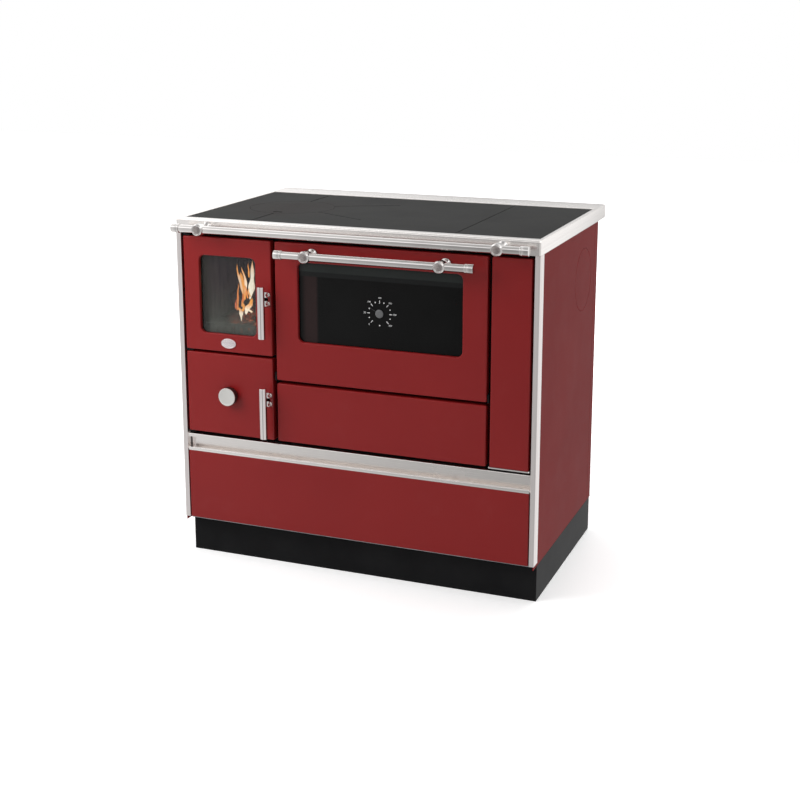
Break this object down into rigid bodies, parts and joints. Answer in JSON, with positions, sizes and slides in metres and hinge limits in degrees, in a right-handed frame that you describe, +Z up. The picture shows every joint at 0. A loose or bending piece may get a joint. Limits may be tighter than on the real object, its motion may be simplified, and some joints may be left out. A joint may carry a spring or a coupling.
{
  "type": "wood-burning cook stove",
  "caption": "Freestanding wood-fired kitchen range with a glazed fire door, ash door, glazed drop-down oven, steel hob with a lift-off lid, wood drawer and front rail.",
  "frame": {"origin": "centre of the overall footprint, on the floor", "axes": "+X to the right of a person facing the doors, +Y from the doors to the back, +Z up"},
  "size_m": [0.9, 0.654, 0.85],
  "materials": {
    "red_enamel": "glossy vitreous enamel",
    "black_enamel": "satin black enamel",
    "stainless": "fine brushed stainless steel",
    "polished_steel": "polished steel",
    "hob_steel": "ground steel plate, blued by heat",
    "black_steel": "matt heat-resistant paint",
    "cast_iron": "rough casting, sooted",
    "zinc_steel": "zinc-coated sheet",
    "fireclay": "pressed fireclay",
    "clear_glass": "ceramic glass, lightly smoked",
    "dark_glass": "dark printed glass",
    "rope": "braided glass rope"
  },
  "bodies": {
    "carcass": {"plinth": "black_enamel", "base_pan": "zinc_steel", "side_panel_left": "red_enamel", "side_panel_right": "red_enamel", "side_outlet_disc": "red_enamel", "back_cover": "red_enamel", "corner_post_left": "stainless", "corner_post_right": "stainless", "face_frame": "black_enamel", "middle_shelf": "black_steel", "top_frame": "stainless", "hob_crossbar": "black_steel", "hob_plate": "hob_steel", "flue_plate": "hob_steel", "rail_tube": "polished_steel", "rail_supports": "polished_steel", "rail_caps": "polished_steel", "firebox_casing": "black_steel", "firebricks": "fireclay", "grate": "cast_iron", "fire_fence": "cast_iron", "ash_box": "black_steel", "ash_pan": "zinc_steel", "oven_box": "black_enamel", "oven_shelf": "polished_steel", "baking_tray": "black_enamel", "smoke_duct": "black_steel", "flue_collar": "black_steel", "lower_panel": "red_enamel", "narrow_panel": "red_enamel", "narrow_panel_strip": "stainless", "door_hinges": "black_steel", "oven_hinges": "black_steel", "latch_strikes": "black_steel", "drawer_channels": "zinc_steel"},
    "hob_lid": {"hob_lid": "hob_steel"},
    "fire_door": {"fire_door_skin": "red_enamel", "fire_door_glass": "clear_glass", "fire_door_frame": "black_enamel", "fire_door_gasket": "rope", "door_badge": "polished_steel", "fire_latch_mount": "polished_steel"},
    "fire_latch": {"fire_latch_lever": "polished_steel"},
    "ash_door": {"ash_door_skin": "red_enamel", "ash_door_frame": "black_enamel", "ash_door_gasket": "rope", "ash_latch_mount": "polished_steel"},
    "ash_latch": {"ash_latch_lever": "polished_steel"},
    "air_control": {"air_knob": "polished_steel"},
    "oven_door": {"oven_door_skin": "red_enamel", "oven_door_glass": "dark_glass", "oven_door_frame": "black_enamel", "oven_door_gasket": "rope", "oven_handle": "polished_steel", "thermometer_body": "polished_steel"},
    "thermometer": {"thermometer_pointer": "polished_steel"},
    "drawer": {"drawer_front": "red_enamel", "drawer_grip": "stainless", "drawer_box": "zinc_steel"}
  },
  "joints": [
    {"name": "fire_door_hinge", "type": "hinge", "parent": "carcass", "child": "fire_door", "pos_m": [-0.424, -0.265, 0.67025], "axis": [0, 0, -1], "range_deg": [0, 110]},
    {"name": "fire_latch_turn", "type": "hinge", "parent": "fire_door", "child": "fire_latch", "pos_m": [-0.209, -0.264, 0.67025], "axis": [0, 0, -1], "range_deg": [0, 18]},
    {"name": "ash_door_hinge", "type": "hinge", "parent": "carcass", "child": "ash_door", "pos_m": [-0.424, -0.265, 0.42525], "axis": [0, 0, -1], "range_deg": [0, 110]},
    {"name": "ash_latch_turn", "type": "hinge", "parent": "ash_door", "child": "ash_latch", "pos_m": [-0.209, -0.264, 0.42525], "axis": [0, 0, -1], "range_deg": [0, 18]},
    {"name": "air_knob_turn", "type": "hinge", "parent": "ash_door", "child": "air_control", "pos_m": [-0.31625, -0.263, 0.42525], "axis": [0, 1, 0], "range_deg": [0, 30]},
    {"name": "oven_door_hinge", "type": "hinge", "parent": "carcass", "child": "oven_door", "pos_m": [0.07075, -0.263, 0.484], "axis": [1, 0, 0], "range_deg": [0, 90]},
    {"name": "pointer_turn", "type": "hinge", "parent": "oven_door", "child": "thermometer", "pos_m": [0.07075, -0.263, 0.657], "axis": [0, 1, 0], "range_deg": [-75, 195]},
    {"name": "drawer_slide", "type": "slide", "parent": "carcass", "child": "drawer", "axis": [0, -1, 0], "range_m": [0, 0.39]},
    {"name": "lid_lift", "type": "slide", "parent": "carcass", "child": "hob_lid", "axis": [0, 0, 1], "range_m": [0, 0.12]}
  ]
}
